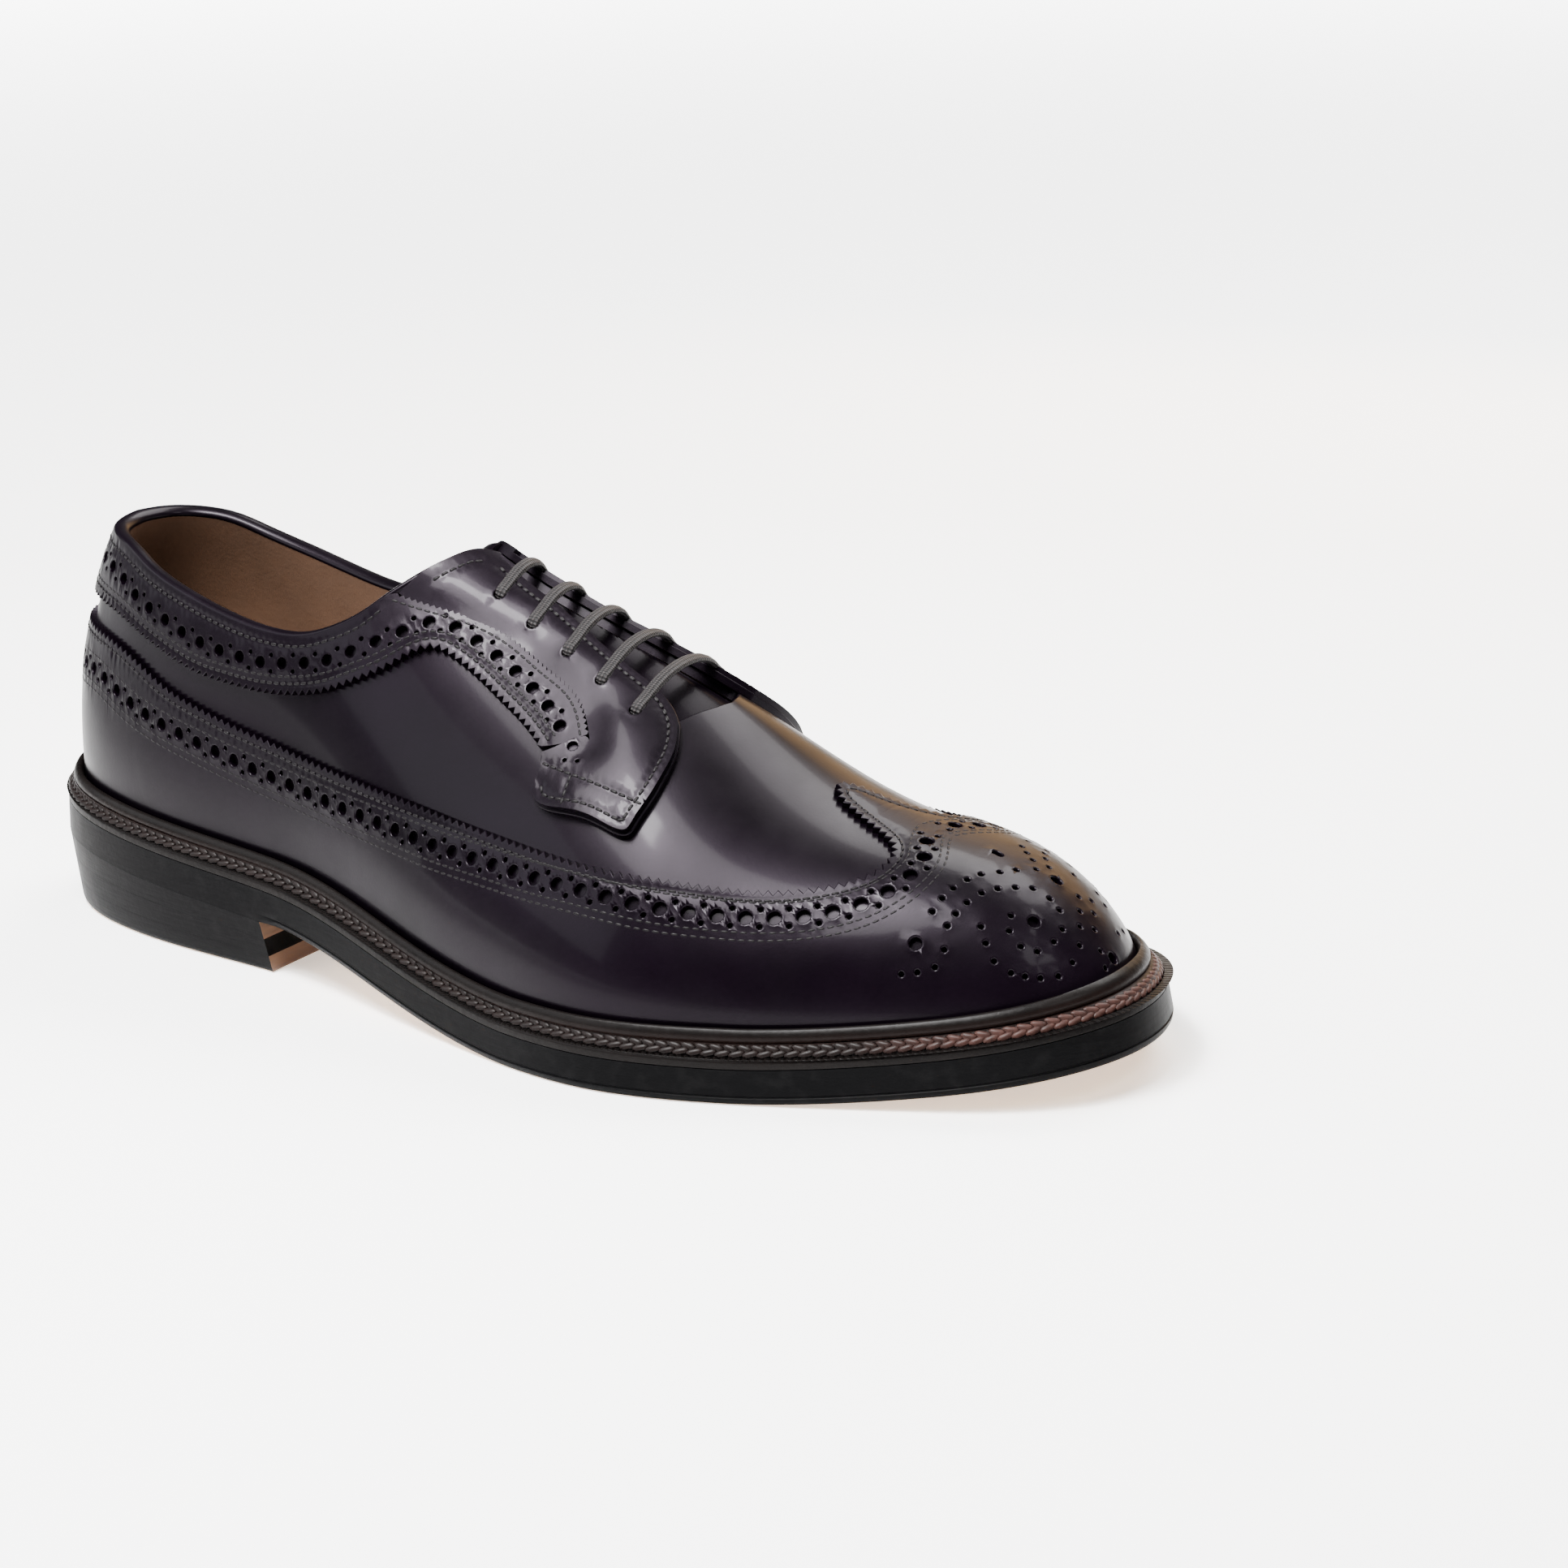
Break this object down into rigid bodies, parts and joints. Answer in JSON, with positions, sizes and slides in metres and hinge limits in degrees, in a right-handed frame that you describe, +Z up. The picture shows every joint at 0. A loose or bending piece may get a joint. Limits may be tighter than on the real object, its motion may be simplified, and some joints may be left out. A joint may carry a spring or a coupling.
{
  "type": "longwing brogue shoe",
  "caption": "Right longwing brogue dress shoe with a hollow leather upper, laced facings, a storm welt, a leather sole and a stacked heel.",
  "frame": {"origin": "centre of the sole's outline box, on the ground plane that the heel and the forefoot stand on", "axes": "+X from heel to toe, +Y to the inner side of the foot, +Z up"},
  "size_m": [0.3065, 0.1152, 0.1017],
  "materials": {
    "shell_leather": "high gloss, dark aubergine, close to black",
    "tongue_leather": "soft gloss, dark aubergine",
    "edge_leather": "satin, waxed black edge",
    "welt_leather": "satin, dark grey brown, ribbed and stitched",
    "sole_leather": "smooth, natural tan under, waxed black at the edge",
    "insole_leather": "smooth, brown",
    "waxed_lace": "waxed cotton, dark grey brown"
  },
  "bodies": {
    "root": {"upper": "shell_leather", "longwing": "shell_leather", "collar_band": "shell_leather", "outer_facing": "shell_leather", "inner_facing": "shell_leather", "tongue": "tongue_leather", "storm_welt": "welt_leather", "midsole": "edge_leather", "outsole": "sole_leather", "insole": "insole_leather", "seat_lift": "edge_leather", "middle_lift": "edge_leather", "top_lift": "edge_leather", "lace_bar_1": "waxed_lace", "lace_bar_2": "waxed_lace", "lace_bar_3": "waxed_lace", "lace_bar_4": "waxed_lace", "lace_bar_5": "waxed_lace"}
  },
  "joints": []
}
